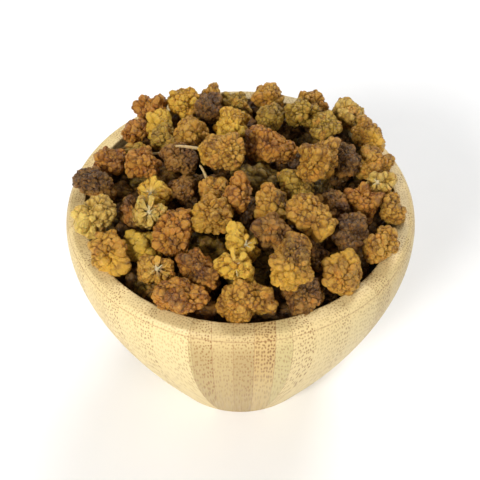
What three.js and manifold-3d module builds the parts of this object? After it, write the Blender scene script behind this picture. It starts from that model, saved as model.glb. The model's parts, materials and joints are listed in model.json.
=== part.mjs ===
import * as THREE from 'three';
import { ConvexHull } from 'three/addons/math/ConvexHull.js';
import { mergeVertices } from 'three/addons/utils/BufferGeometryUtils.js';
import Module from 'manifold-3d';

// A small turned bamboo bowl heaped with dried white mulberries.
// Millimetres, +Z up, origin at the middle of the foot the bowl stands on.

const wasm = await Module();
wasm.setup();

// Bowl
const BOWL_HEIGHT = 89;
const BOWL_RADIUS = 60;
const BULGE_DROP = 10;
const RIM_OUTER = 57.2;
const RIM_INNER = 52.7;
const RIM_ROUND = 1.2;
const FOOT_RADIUS = 33.5;
const FOOT_ROUND = 2.2;
const WALL_STRAIGHT = 24;
const FLOOR_THICKNESS = 9;
const FLOOR_RADIUS = 18;
const BELLY_HEIGHT = 49;
const HOLLOW_RADIUS = 38;
const BOWL_SIDES = 48;

// Fruit
const GOLDEN_ANGLE = Math.PI * (3 - Math.sqrt(5));
const DRUPELETS = 22;
const HEAP_DRUPELETS = 10;
const BALL_SHARE = 0.29;
const BALL_CLEARANCE = 0;
const CREASE_DEPTH = 0.05;
const BLUNTNESS = 2.35;
const LEAST_REACH = 0.94;
const REACH_SPREAD = 0.1;
const LEAST_TAPER = 0.12;
const TAPER_SPREAD = 0.16;
const BEND_SPREAD = 0.12;
const SPIRAL_SCATTER = 0.35;
const SKIN_STEPS = 200;
const LENGTH_TO_WIDTH = 1.5;
const STALK_WIDTH = 1.1;
const STALK_LIFT = 0.35;

// Heap
const CLEARANCE = 0.3;
const CROWN_HEIGHT = 2.5;
const CROWN_BACK = 13;
const EDGE_DROP = 6;
const HEAP_PITCH = 12.5;
const RING_STEP = 10;
const RING_SCATTER = 0.4;
const CROWDED = 7;
const WALL_GAP = 1.3;
const HEAP_LONG = 15;
const HEAP_WIDE = 11;
const HEAP_SINK = 2;
const HEAP_SIDES = 36;
const HEAP_SEED = 2026;
const LUMP_DEPTH = 1.6;
const LUMP_HEIGHT = 6;
const CROWN_POWER = 2.2;
const CORE_BELOW = 6;

// Settling of the fruits on the heap
const REST_HEIGHT = 9.5;
const GATHER_ROUNDS = 160;
const FALL_ROUNDS = 160;
const CALM_ROUNDS = 80;
const FALL = 0.08;
const HOLD = 0.1;
const SEAT_STEP = 0.15;
const DEEPEST_SEAT = 4;

// Finishes read from the photo: colour, roughness
const FINISHES = {
  bamboo: [0xdcc898, 0.55],
  amber: [0xa8773a, 0.5],
  golden: [0xc2953f, 0.48],
  russet: [0x96582c, 0.5],
  brown: [0x6b4a33, 0.55],
  olive: [0x8a7038, 0.55],
  straw: [0xc9ad68, 0.52],
};

// Fruits that show. x and y are the middle, turn is the heading of the long axis from +X, rise lifts a
// fruit onto its neighbours or puts it under them, pitch fixes the slope of a fruit seen end on, and
// stalk is the length of a stalk that is left.
const FRUITS = [
  // Along the back rim
  { tone: 'olive', x: -3, y: 44, turn: 30, long: 13, wide: 11, rise: -2 },
  { tone: 'brown', x: -11, y: 38, turn: 100, long: 13, wide: 10, rise: -2 },
  { tone: 'amber', x: 27, y: 43, turn: -35, long: 14, wide: 10, rise: 1 },
  { tone: 'olive', x: 21, y: 35, turn: 10, long: 14, wide: 11 },
  { tone: 'amber', x: -11, y: 48, turn: 80, long: 12, wide: 10, stalk: 2, rise: -3 },
  { tone: 'golden', x: -21, y: 42, turn: 100, long: 14, wide: 11 },
  { tone: 'russet', x: -38, y: 28, turn: 20, long: 11, wide: 8, rise: -2 },
  { tone: 'russet', x: -32, y: 39, turn: 5, long: 14, wide: 11 },
  { tone: 'golden', x: -29, y: 28, turn: 70, long: 10, wide: 8, rise: 1 },
  { tone: 'amber', x: 9, y: 46, turn: 75, long: 14, wide: 12, rise: 2 },
  { tone: 'olive', x: 12, y: 32, turn: 90, long: 14, wide: 11 },
  { tone: 'olive', x: 31, y: 27, turn: 60, long: 14, wide: 11, rise: -2 },
  { tone: 'straw', x: 39, y: 34, turn: 25, long: 14, wide: 11, rise: -1 },
  { tone: 'amber', x: 46, y: 25, turn: -60, long: 16, wide: 10, rise: 2 },
  // Back half
  { tone: 'brown', x: 35, y: 9, turn: -40, long: 15, wide: 11, rise: -6 },
  { tone: 'olive', x: -35, y: 19, turn: -20, long: 10, wide: 8, stalk: 4, rise: -2 },
  { tone: 'russet', x: -44, y: 13, turn: -30, long: 14, wide: 10 },
  { tone: 'olive', x: -27, y: 20, turn: 60, long: 12, wide: 9, rise: -4 },
  { tone: 'amber', x: -21, y: 22, turn: 100, long: 17, wide: 12, rise: -1 },
  { tone: 'brown', x: -22, y: 9, turn: 0, long: 14, wide: 11 },
  { tone: 'russet', x: -33, y: 10, turn: -45, long: 14, wide: 11 },
  { tone: 'golden', x: -3, y: 27, turn: 80, long: 15, wide: 11, rise: 3 },
  { tone: 'olive', x: 20, y: -4, turn: -60, long: 14, wide: 10, rise: -6 },
  { tone: 'russet', x: 10, y: 14, turn: -25, long: 22, wide: 12, rise: 1 },
  { tone: 'amber', x: 47, y: 10, turn: 20, long: 14, wide: 11 },
  { tone: 'straw', x: 46, y: 1, turn: 35, long: 12, wide: 9, rise: 2 },
  { tone: 'amber', x: 25, y: 2, turn: 50, long: 18, wide: 12, rise: -1 },
  { tone: 'amber', x: -8, y: 5, turn: 170, long: 18, wide: 12, stalk: 6 },
  // Left
  { tone: 'brown', x: -50, y: 1, turn: -35, long: 15, wide: 11, rise: -2 },
  { tone: 'straw', x: -46, y: -15, turn: 40, long: 16, wide: 11 },
  { tone: 'brown', x: -36, y: -13, turn: -50, long: 11, wide: 8, rise: -4 },
  { tone: 'golden', x: -28, y: -8, turn: 120, long: 12, wide: 11, pitch: 30, rise: -2 },
  { tone: 'straw', x: -28, y: -15, turn: -20, long: 11, wide: 9 },
  { tone: 'olive', x: -31, y: -26, turn: -60, long: 12, wide: 10, rise: -2 },
  { tone: 'amber', x: -37, y: -28, turn: -75, long: 17, wide: 11 },
  { tone: 'russet', x: -24, y: -25, turn: 67, long: 19, wide: 12, rise: -1 },
  // Middle
  { tone: 'brown', x: -18, y: -3, turn: 110, long: 12, wide: 8, rise: -6 },
  { tone: 'russet', x: 0, y: -11, turn: 100, long: 13, wide: 9, rise: -4 },
  { tone: 'amber', x: 9, y: -13, turn: 100, long: 13, wide: 12, pitch: 30 },
  { tone: 'amber', x: -9, y: -8, turn: 110, long: 14, wide: 11, stalk: 5, rise: -2 },
  { tone: 'amber', x: -8, y: -18, turn: -15, long: 14, wide: 11, rise: 2 },
  // Right
  { tone: 'brown', x: 29, y: -12, turn: -20, long: 14, wide: 10, rise: -3 },
  { tone: 'russet', x: 43, y: -7, turn: -60, long: 14, wide: 10 },
  { tone: 'amber', x: 48, y: -10, turn: 80, long: 11, wide: 8, rise: 1 },
  { tone: 'brown', x: 34, y: -22, turn: 60, long: 17, wide: 12, rise: -4 },
  { tone: 'amber', x: 20, y: -22, turn: -45, long: 18, wide: 12, rise: -2 },
  { tone: 'amber', x: 41, y: -24, turn: 45, long: 16, wide: 10, rise: -2 },
  // Front
  { tone: 'brown', x: 9, y: -26, turn: -60, long: 14, wide: 11, rise: -1 },
  { tone: 'brown', x: 25, y: -30, turn: -70, long: 13, wide: 9, rise: -2 },
  { tone: 'golden', x: 1, y: -28, turn: -50, long: 14, wide: 9, rise: 2 },
  { tone: 'amber', x: -23, y: -34, turn: -10, long: 13, wide: 9, rise: 1 },
  { tone: 'brown', x: 20, y: -40, turn: 50, long: 14, wide: 11, rise: -5 },
  { tone: 'golden', x: -1, y: -38, turn: -30, long: 13, wide: 9 },
  { tone: 'amber', x: 28, y: -35, turn: 80, long: 15, wide: 11, rise: -2 },
  { tone: 'russet', x: -12, y: -38, turn: -50, long: 18, wide: 11, rise: 1 },
  { tone: 'russet', x: -19, y: -45, turn: -20, long: 17, wide: 11 },
  { tone: 'amber', x: 16, y: -39, turn: 75, long: 19, wide: 12, rise: 1 },
  { tone: 'amber', x: 1, y: -47, turn: 10, long: 18, wide: 12 },
];

// Fruits that show low between the others or hold them up, part of the heap itself
const LOW_FRUITS = [
  // Along the back wall
  { x: -3, y: 46, turn: 10, long: 13, wide: 10, rise: 1 },
  { x: 7, y: 46, turn: -5, long: 13, wide: 10, rise: 1 },
  { x: 19, y: 42, turn: -25, long: 13, wide: 10 },
  { x: -29, y: 37, turn: 40, long: 13, wide: 10 },
  { x: 37, y: 28, turn: -50, long: 13, wide: 10 },
  { x: 43, y: 19, turn: -70, long: 13, wide: 10, rise: 1 },
  { x: -43, y: 19, turn: 60, long: 13, wide: 10, rise: 1 },
  // Back half
  { x: -11, y: 22, turn: 90, long: 14, wide: 10 },
  { x: -3, y: 27, turn: 80, long: 13, wide: 10, rise: 2 },
  { x: 7, y: 3, turn: 0, long: 16, wide: 11, rise: 3 },
  { x: -8, y: 2, turn: 30, long: 13, wide: 10 },
  { x: 34, y: 10, turn: 50, long: 13, wide: 10, rise: 3 },
  // Left
  { x: -41, y: 3, turn: 20, long: 12, wide: 9 },
  { x: -35, y: -15, turn: -50, long: 13, wide: 10, rise: 1 },
  { x: -31, y: -24, turn: 30, long: 13, wide: 10, rise: -1 },
  { x: -35, y: -33, turn: -40, long: 13, wide: 10, rise: 1 },
  { x: -30, y: -36, turn: -35, long: 14, wide: 10 },
  { x: -21, y: -27, turn: 20, long: 13, wide: 10, rise: 2 },
  { x: -23, y: -36, turn: 20, long: 13, wide: 10, rise: 3 },
  // Middle
  { x: 2, y: -12, turn: 60, long: 13, wide: 10, rise: 5 },
  { x: 3, y: -20, turn: 100, long: 13, wide: 10, rise: 1 },
  { x: 9, y: -22, turn: 60, long: 13, wide: 10, rise: 4 },
  { x: -10, y: -26, turn: 30, long: 15, wide: 11, rise: 3 },
  { x: -1, y: -31, turn: 90, long: 15, wide: 10, rise: 7 },
  { x: 8, y: -31, turn: 10, long: 14, wide: 10, rise: 4 },
  { x: 9, y: -38, turn: 120, long: 13, wide: 10, rise: 1 },
  // Right and front
  { x: 38, y: 1, turn: 60, long: 14, wide: 10 },
  { x: 49, y: 3, turn: 85, long: 13, wide: 10, rise: 1 },
  { x: 28, y: -5, turn: 20, long: 13, wide: 10 },
  { x: 20, y: -20, turn: 20, long: 13, wide: 10, rise: 4 },
  { x: 40, y: -24, turn: 60, long: 13, wide: 10, rise: 2 },
  { x: 37, y: -30, turn: 40, long: 13, wide: 10, rise: 1 },
  { x: 27, y: -34, turn: 60, long: 13, wide: 10, rise: 4 },
  { x: 13, y: -44, turn: 10, long: 14, wide: 10 },
];

function seededRandom(seed) {
  let state = seed >>> 0;
  return () => {
    state = (state + 0x6d2b79f5) >>> 0;
    let mixed = Math.imul(state ^ (state >>> 15), state | 1);
    mixed ^= mixed + Math.imul(mixed ^ (mixed >>> 7), mixed | 61);
    return ((mixed ^ (mixed >>> 14)) >>> 0) / 4294967296;
  };
}

function material(tone) {
  const [color, roughness] = FINISHES[tone];
  return new THREE.MeshStandardMaterial({ color, roughness, metalness: 0 });
}

function closedGeometry(positions, triangles) {
  const geometry = new THREE.BufferGeometry();
  geometry.setAttribute('position', new THREE.Float32BufferAttribute(positions, 3));
  geometry.setIndex(triangles);
  return geometry;
}

// Bowl profile, from the middle of the foot out, up and back down inside
function outerWall() {
  const widest = new THREE.Vector2(BOWL_RADIUS, BOWL_HEIGHT - BULGE_DROP);
  const below = new THREE.Vector2(BOWL_RADIUS, widest.y - WALL_STRAIGHT);
  const heel = new THREE.Vector2(FOOT_RADIUS + FOOT_ROUND, FOOT_ROUND);
  return new THREE.CubicBezierCurve(heel, heel, below, widest).getPoints(8);
}

function rimEdge() {
  const widest = new THREE.Vector2(BOWL_RADIUS, BOWL_HEIGHT - BULGE_DROP);
  const shoulder = new THREE.Vector2(BOWL_RADIUS, BOWL_HEIGHT - BULGE_DROP / 3);
  const edge = new THREE.Vector2(RIM_OUTER + RIM_ROUND, BOWL_HEIGHT - RIM_ROUND);
  const outer = new THREE.QuadraticBezierCurve(widest, shoulder, edge).getPoints(2).slice(1);
  outer.push(new THREE.Vector2(RIM_OUTER, BOWL_HEIGHT));
  outer.push(new THREE.Vector2(RIM_INNER + RIM_ROUND / 2, BOWL_HEIGHT));
  outer.push(new THREE.Vector2(RIM_INNER, BOWL_HEIGHT - RIM_ROUND / 2));
  return outer;
}

function innerWall(inset) {
  const top = new THREE.Vector2(RIM_INNER - inset, BOWL_HEIGHT - RIM_ROUND / 2);
  const upper = new THREE.Vector2(RIM_INNER - inset, BELLY_HEIGHT);
  const lower = new THREE.Vector2(HOLLOW_RADIUS - inset, FLOOR_THICKNESS + inset);
  const floor = new THREE.Vector2(FLOOR_RADIUS - inset, FLOOR_THICKNESS + inset);
  return new THREE.CubicBezierCurve(top, upper, lower, floor);
}

function bowlMesh() {
  const profile = [new THREE.Vector2(0, 0), new THREE.Vector2(FOOT_RADIUS, 0)];
  profile.push(...outerWall());
  profile.push(...rimEdge());
  profile.push(...innerWall(0).getPoints(7).slice(1));
  profile.push(new THREE.Vector2(0, FLOOR_THICKNESS));
  const geometry = new THREE.LatheGeometry(profile, BOWL_SIDES);
  geometry.rotateX(Math.PI / 2);
  const mesh = new THREE.Mesh(geometry, material('bamboo'));
  mesh.name = 'bowl';
  return mesh;
}

// One fruit along +X: drupelets are beads on a blunt spindle, each a low pyramid with creases round it
function spindle(along) {
  return Math.pow(1 - Math.pow(Math.abs(along), BLUNTNESS), 1 / BLUNTNESS);
}

// Places along the spindle, -1 to 1, that share its skin evenly between the drupelets
function evenPlaces(count) {
  const skin = [0];
  for (let step = 1; step <= SKIN_STEPS; step += 1) {
    const before = spindle(-1 + (2 * (step - 1)) / SKIN_STEPS);
    const after = spindle(-1 + (2 * step) / SKIN_STEPS);
    const slant = Math.hypot((2 * LENGTH_TO_WIDTH) / SKIN_STEPS, after - before);
    skin.push(skin[step - 1] + ((before + after) / 2) * slant);
  }
  const places = [];
  let step = 0;
  for (let index = 0; index < count; index += 1) {
    const wanted = ((index + 0.5) / count) * skin[SKIN_STEPS];
    while (skin[step] < wanted) step += 1;
    places.push(-1 + (2 * step) / SKIN_STEPS);
  }
  return places;
}

// Tips of the drupelets, wound round the spindle by the golden angle
function beadTips(count, random) {
  const tips = [];
  const turn = random() * 2 * Math.PI;
  for (const [index, along] of evenPlaces(count).entries()) {
    const angle = turn + index * GOLDEN_ANGLE + (random() - 0.5) * SPIRAL_SCATTER;
    const reach = spindle(along);
    tips.push(new THREE.Vector3(along, reach * Math.cos(angle), reach * Math.sin(angle)));
  }
  return tips;
}

function fruitGeometry({ long, wide, stalk = 0 }, count, random) {
  const tips = beadTips(count, random);
  const hull = new ConvexHull().setFromPoints(tips);
  const taper = LEAST_TAPER + TAPER_SPREAD * random();
  const bend = (random() - 0.5) * BEND_SPREAD * long;
  const positions = [];
  const index = new Map();

  function place(point, reach) {
    const width = (wide / 2) * reach * (1 - taper * point.x);
    const sag = bend * (point.x * point.x - 0.4);
    positions.push(point.x * reach * (long / 2), point.y * width + sag, point.z * width);
    return positions.length / 3 - 1;
  }

  for (const tip of tips) index.set(tip, place(tip, LEAST_REACH + REACH_SPREAD * random()));
  const balls = ballsBelow(positions, BALL_SHARE * wide);
  for (const face of hull.faces) {
    const middle = new THREE.Vector3();
    let edge = face.edge;
    for (let corner = 0; corner < 3; corner += 1) {
      middle.addScaledVector(edge.head().point, 1 / 3);
      edge = edge.next;
    }
    index.set(face, place(middle, 1 - CREASE_DEPTH));
  }
  const triangles = [];
  for (const face of hull.faces) {
    let edge = face.edge;
    for (let corner = 0; corner < 3; corner += 1) {
      triangles.push(index.get(edge.tail().point), index.get(edge.twin.face), index.get(face));
      edge = edge.next;
    }
  }
  const body = closedGeometry(positions, triangles);
  if (!stalk) return { geometry: body, balls };
  const path = stalkPath(long, stalk, bend);
  for (const middle of path.getPoints(4).slice(2)) balls.push({ middle, radius: STALK_WIDTH });
  return { geometry: joined([body, stalkGeometry(path)]), balls };
}

// One ball inside each drupelet, touching its tip
function ballsBelow(positions, radius) {
  const balls = [];
  for (let corner = 0; corner < positions.length; corner += 3) {
    const tip = new THREE.Vector3().fromArray(positions, corner);
    const inward = new THREE.Vector3(0.6 * tip.x, 0, 0).sub(tip).setLength(radius);
    balls.push({ middle: tip.add(inward), radius });
  }
  return balls;
}

// Stalk that stands out of the blunt end and curves up a little
function stalkPath(long, stalk, bend) {
  const root = new THREE.Vector3(long * 0.3, bend * -0.1, 0);
  const neck = new THREE.Vector3(long / 2 + stalk * 0.4, bend * 0.6, 0);
  const end = new THREE.Vector3(long / 2 + stalk, bend * 0.6, stalk * STALK_LIFT);
  return new THREE.QuadraticBezierCurve3(root, neck, end);
}

function stalkGeometry(path) {
  const half = STALK_WIDTH / 2;
  const corners = [[-half, -half], [half, -half], [half, half], [-half, half]];
  const section = new THREE.Shape(corners.map(([x, y]) => new THREE.Vector2(x, y)));
  return new THREE.ExtrudeGeometry(section, { steps: 3, extrudePath: path });
}

// Solids that are joined into one
function toSolid(geometry) {
  const bare = geometry.clone();
  bare.deleteAttribute('normal');
  bare.deleteAttribute('uv');
  const merged = mergeVertices(bare, 1e-4);
  return new wasm.Manifold(new wasm.Mesh({
    numProp: 3,
    vertProperties: new Float32Array(merged.attributes.position.array),
    triVerts: new Uint32Array(merged.index.array),
  }));
}

function joined(geometries) {
  let solid = toSolid(geometries[0]);
  for (const geometry of geometries.slice(1)) solid = solid.add(toSolid(geometry));
  const mesh = solid.getMesh();
  return largestShell(Array.from(mesh.vertProperties), Array.from(mesh.triVerts));
}

// Keeps the outer skin, so that no pocket stays sealed between joined fruits
function largestShell(positions, triangles) {
  const parent = Array.from({ length: positions.length / 3 }, (_, vertex) => vertex);
  const find = (vertex) => {
    let root = vertex;
    while (parent[root] !== root) root = parent[root];
    parent[vertex] = root;
    return root;
  };
  for (let corner = 0; corner < triangles.length; corner += 3) {
    parent[find(triangles[corner])] = find(triangles[corner + 1]);
    parent[find(triangles[corner + 1])] = find(triangles[corner + 2]);
  }
  const sizes = new Map();
  for (const vertex of triangles) sizes.set(find(vertex), (sizes.get(find(vertex)) ?? 0) + 1);
  const [largest] = [...sizes.entries()].reduce((best, next) => (next[1] > best[1] ? next : best));
  const kept = [];
  for (let corner = 0; corner < triangles.length; corner += 3) {
    if (find(triangles[corner]) === largest) kept.push(...triangles.slice(corner, corner + 3));
  }
  return closedGeometry(positions, kept);
}

// Heap: a core that fills the bowl, with fruits standing out of all of its top
function crown(x, y) {
  const share = Math.min(Math.hypot(x, y - CROWN_BACK) / RIM_INNER, 1);
  return BOWL_HEIGHT + CROWN_HEIGHT - (CROWN_HEIGHT + EDGE_DROP) * Math.pow(share, CROWN_POWER);
}

function coreHeight(x, y) {
  return crown(x, y) - CORE_BELOW;
}

function coreGeometry() {
  const top = BOWL_HEIGHT - EDGE_DROP - CORE_BELOW;
  const side = innerWall(2 * CLEARANCE).getPoints(9).filter((point) => point.y < top).reverse();
  const edge = RIM_INNER - WALL_GAP;
  const profile = [new THREE.Vector2(0, FLOOR_THICKNESS + 2 * CLEARANCE), ...side];
  for (let step = 0; step <= 4; step += 1) {
    profile.push(new THREE.Vector2(edge * (1 - step / 4), BOWL_HEIGHT));
  }
  const geometry = new THREE.LatheGeometry(profile, HEAP_SIDES);
  geometry.rotateX(Math.PI / 2);
  shapeTop(geometry);
  roughenSide(geometry);
  return geometry;
}

// Bends the flat lid of the core to the crown of the heap
function shapeTop(geometry) {
  const place = geometry.attributes.position;
  for (let vertex = 0; vertex < place.count; vertex += 1) {
    if (place.getZ(vertex) < BOWL_HEIGHT) continue;
    place.setZ(vertex, coreHeight(place.getX(vertex), place.getY(vertex)));
  }
}

// Pulls the side in between the fruits that lie against the bowl's wall
function roughenSide(geometry) {
  const place = geometry.attributes.position;
  for (let vertex = 0; vertex < place.count; vertex += 1) {
    const x = place.getX(vertex);
    const y = place.getY(vertex);
    const z = place.getZ(vertex);
    const angle = Math.round((Math.atan2(y, x) / (2 * Math.PI)) * HEAP_SIDES);
    const row = Math.round(z / LUMP_HEIGHT);
    const pulled = Math.hypot(x, y) > 1 && (angle + 2 * row) % 3 === 0;
    const inward = pulled ? 1 - LUMP_DEPTH / Math.hypot(x, y) : 1;
    place.setXY(vertex, x * inward, y * inward);
  }
}

function poseOf(x, y, z, roll, pitch, turn) {
  const [about, slope, heading] = [roll, -pitch, turn].map(THREE.MathUtils.degToRad);
  const pose = new THREE.Matrix4().makeRotationFromEuler(new THREE.Euler(about, slope, heading, 'ZYX'));
  return pose.setPosition(x, y, z);
}

function ballsAt(balls, pose) {
  return balls.map(({ middle, radius }) => ({ middle: middle.clone().applyMatrix4(pose), radius }));
}

// Hand-placed low fruits first, then rings of fruits that follow the wall and fill what is left
function heapPlaces(random) {
  const places = [...LOW_FRUITS];
  const outermost = RIM_INNER - WALL_GAP - HEAP_WIDE / 2;
  for (let radius = outermost; radius > HEAP_WIDE / 4; radius -= RING_STEP) {
    const count = Math.floor((2 * Math.PI * radius) / HEAP_PITCH);
    for (let step = 0; step < count; step += 1) {
      const angle = ((step + RING_SCATTER * random()) / count) * 360;
      const x = radius * Math.cos(THREE.MathUtils.degToRad(angle));
      const y = radius * Math.sin(THREE.MathUtils.degToRad(angle));
      const turn = radius === outermost ? angle + 90 : random() * 360;
      const nearest = Math.min(...places.map((other) => Math.hypot(other.x - x, other.y - y)));
      if (nearest > CROWDED) places.push({ x, y, turn, long: HEAP_LONG, wide: HEAP_WIDE });
    }
  }
  return places;
}

// Moves a fruit towards the axis until it is clear of the bowl's wall
function moveInside(geometry) {
  const place = geometry.attributes.position;
  const reach = new THREE.Vector2();
  const furthest = new THREE.Vector2();
  for (let vertex = 0; vertex < place.count; vertex += 1) {
    reach.set(place.getX(vertex), place.getY(vertex));
    if (reach.length() > furthest.length()) furthest.copy(reach);
  }
  const excess = Math.max(0, furthest.length() - (RIM_INNER - WALL_GAP));
  furthest.setLength(-excess);
  const move = new THREE.Matrix4().makeTranslation(furthest.x, furthest.y, 0);
  geometry.applyMatrix4(move);
  return move;
}

function heapParts() {
  const random = seededRandom(HEAP_SEED);
  const pieces = [coreGeometry()];
  const balls = [];
  for (const fruit of heapPlaces(random)) {
    const made = fruitGeometry(fruit, HEAP_DRUPELETS, random);
    const height = crown(fruit.x, fruit.y) - HEAP_SINK + (fruit.rise ?? 0);
    const pose = poseOf(fruit.x, fruit.y, height, random() * 360, 0, fruit.turn);
    made.geometry.applyMatrix4(pose);
    const inward = moveInside(made.geometry);
    pieces.push(made.geometry);
    balls.push(...ballsAt(made.balls, inward.multiply(pose)));
  }
  const mesh = new THREE.Mesh(joined(pieces), material('brown'));
  mesh.name = 'heap';
  return { mesh, balls };
}

// Fruits that show: each falls a little, is held near its place, and is pushed clear of what it meets
function slopeAlong(fruit) {
  const heading = THREE.MathUtils.degToRad(fruit.turn);
  const ahead = [(Math.cos(heading) * fruit.long) / 2, (Math.sin(heading) * fruit.long) / 2];
  const higher = crown(fruit.x + ahead[0], fruit.y + ahead[1]);
  const lower = crown(fruit.x - ahead[0], fruit.y - ahead[1]);
  return THREE.MathUtils.radToDeg(Math.atan((higher - lower) / fruit.long));
}

function looseFruit(fruit, index) {
  const random = seededRandom(index + 1);
  const { geometry, balls } = fruitGeometry(fruit, DRUPELETS, random);
  const pitch = fruit.pitch ?? slopeAlong(fruit);
  const turned = ballsAt(balls, poseOf(0, 0, 0, 0, pitch, fruit.turn));
  const height = crown(fruit.x, fruit.y) + REST_HEIGHT + (fruit.rise ?? 0);
  const wanted = new THREE.Vector3(fruit.x, fruit.y, height);
  const reach = fruit.long / 2 + (fruit.stalk ?? 0) + CLEARANCE;
  return { fruit, geometry, pitch, wanted, reach, middle: wanted.clone(), balls: turned };
}

// How far ball must move to be clear of other, as a vector, or null
const between = new THREE.Vector3();

function pushApart(piece, other) {
  let deepest = 0;
  let push = null;
  for (const ball of piece.balls) {
    for (const met of other.balls) {
      between.copy(piece.middle).add(ball.middle).sub(other.middle).sub(met.middle);
      const depth = ball.radius + met.radius + BALL_CLEARANCE - between.length();
      if (depth > deepest) {
        deepest = depth;
        push = between.clone().setLength(depth);
      }
    }
  }
  return push;
}

function pushFromHeap(piece, heapBalls) {
  const near = heapBalls.filter((ball) => ball.middle.distanceTo(piece.middle) < piece.reach + ball.radius);
  for (const ball of piece.balls) {
    for (const met of near) {
      between.copy(piece.middle).add(ball.middle).sub(met.middle);
      const depth = ball.radius + met.radius + BALL_CLEARANCE - between.length();
      if (depth > 0) piece.middle.addScaledVector(between, depth / between.length());
    }
    const core = coreHeight(piece.middle.x + ball.middle.x, piece.middle.y + ball.middle.y);
    const lowest = core + ball.radius + CLEARANCE;
    piece.middle.z = Math.max(piece.middle.z, lowest - ball.middle.z);
  }
}

// The bowl near its rim: a straight wall inside and a flat top
function pushFromRim(piece) {
  for (const ball of piece.balls) {
    const x = piece.middle.x + ball.middle.x;
    const y = piece.middle.y + ball.middle.y;
    const z = piece.middle.z + ball.middle.z;
    const radius = Math.hypot(x, y);
    const nearRadius = THREE.MathUtils.clamp(radius, RIM_INNER, RIM_OUTER);
    const out = radius - nearRadius;
    const up = Math.max(z - BOWL_HEIGHT, 0);
    const depth = ball.radius + CLEARANCE - Math.hypot(out, up);
    if (depth <= 0 || (out >= 0 && up === 0 && radius > RIM_OUTER)) continue;
    if (out === 0) {
      piece.middle.z += depth;
    } else {
      const scale = depth / Math.hypot(out, up);
      piece.middle.x += (x / radius) * out * scale;
      piece.middle.y += (y / radius) * out * scale;
      piece.middle.z += up * scale;
    }
  }
}

function settle(pieces, heapBalls) {
  for (let round = 0; round < GATHER_ROUNDS + FALL_ROUNDS + CALM_ROUNDS; round += 1) {
    const falling = round >= GATHER_ROUNDS;
    const liveliness = Math.max(0, 1 - round / (GATHER_ROUNDS + FALL_ROUNDS));
    for (const piece of pieces) {
      const height = piece.middle.z;
      piece.middle.lerp(piece.wanted, HOLD * liveliness);
      if (falling) piece.middle.z = height - FALL * liveliness * 2;
    }
    for (const [index, piece] of pieces.entries()) {
      for (const other of pieces.slice(index + 1)) {
        if (piece.middle.distanceTo(other.middle) > piece.reach + other.reach) continue;
        const push = pushApart(piece, other);
        if (!push) continue;
        piece.middle.addScaledVector(push, 0.5);
        other.middle.addScaledVector(push, -0.5);
      }
      pushFromHeap(piece, heapBalls);
      pushFromRim(piece);
    }
  }
}

function lyingPose({ fruit, pitch, middle }) {
  return poseOf(middle.x, middle.y, middle.z, 0, pitch, fruit.turn);
}

function solidOf(piece) {
  return toSolid(piece.geometry.clone().applyMatrix4(lyingPose(piece)));
}

function meetsAny(piece, others) {
  const solid = solidOf(piece);
  return others.some((other) => solid.intersect(other).getMesh().triVerts.length > 0);
}

// Last small drop: the lowest fruit first, each goes down until it would meet what carries it
function seat(pieces, fixed) {
  const solids = new Map(pieces.map((piece) => [piece, solidOf(piece)]));
  const lowestFirst = [...pieces].sort((one, two) => one.middle.z - two.middle.z);
  for (const piece of lowestFirst) {
    const near = pieces.filter((other) => other !== piece
      && piece.middle.distanceTo(other.middle) < piece.reach + other.reach + DEEPEST_SEAT);
    const others = [...near.map((other) => solids.get(other)), ...fixed];
    const height = piece.middle.z;
    while (height - piece.middle.z < DEEPEST_SEAT && !meetsAny(piece, others)) piece.middle.z -= SEAT_STEP;
    piece.middle.z = Math.min(height, piece.middle.z + SEAT_STEP + CLEARANCE);
    solids.set(piece, solidOf(piece));
  }
}

function fruitMesh(piece, index) {
  const mesh = new THREE.Mesh(piece.geometry, material(piece.fruit.tone));
  mesh.name = `mulberry_${String(index + 1).padStart(2, '0')}`;
  mesh.applyMatrix4(lyingPose(piece));
  return mesh;
}

const bowl = bowlMesh();
const heap = heapParts();
const loose = FRUITS.map(looseFruit);
settle(loose, heap.balls);
seat(loose, [toSolid(heap.mesh.geometry), toSolid(bowl.geometry)]);

const bowlOfMulberries = new THREE.Group();
bowlOfMulberries.add(bowl, heap.mesh, ...loose.map(fruitMesh));

export default bowlOfMulberries;
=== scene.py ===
import json
import math

import bmesh
import bpy
import numpy as np
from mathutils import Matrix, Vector
from mathutils.bvhtree import BVHTree


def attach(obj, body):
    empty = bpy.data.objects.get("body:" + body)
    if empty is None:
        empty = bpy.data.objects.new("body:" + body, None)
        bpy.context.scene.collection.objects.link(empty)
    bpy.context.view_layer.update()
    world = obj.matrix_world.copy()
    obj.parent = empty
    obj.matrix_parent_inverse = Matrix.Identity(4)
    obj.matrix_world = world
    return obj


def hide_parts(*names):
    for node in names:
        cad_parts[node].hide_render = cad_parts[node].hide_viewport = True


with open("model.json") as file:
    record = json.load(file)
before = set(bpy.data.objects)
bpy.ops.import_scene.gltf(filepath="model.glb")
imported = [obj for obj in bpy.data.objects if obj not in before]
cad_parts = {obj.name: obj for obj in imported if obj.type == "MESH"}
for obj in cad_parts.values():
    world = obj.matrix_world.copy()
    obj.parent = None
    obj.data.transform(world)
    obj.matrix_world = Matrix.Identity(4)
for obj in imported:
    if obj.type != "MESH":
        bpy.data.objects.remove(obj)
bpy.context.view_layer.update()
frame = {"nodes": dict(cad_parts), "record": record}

# A small bamboo bowl heaped with dried white mulberries. Shapes are worked out in millimetres, with the
# origin at the middle of the foot, and turned into metres when a mesh is made.
MM = 0.001

# Camera
LOOK_AT = (-0.2, 0.0, 65.4)
CAMERA_DISTANCE = 260.0
CAMERA_ELEVATION = 48.8
LENS = 53.2
SENSOR = 36.0

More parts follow.
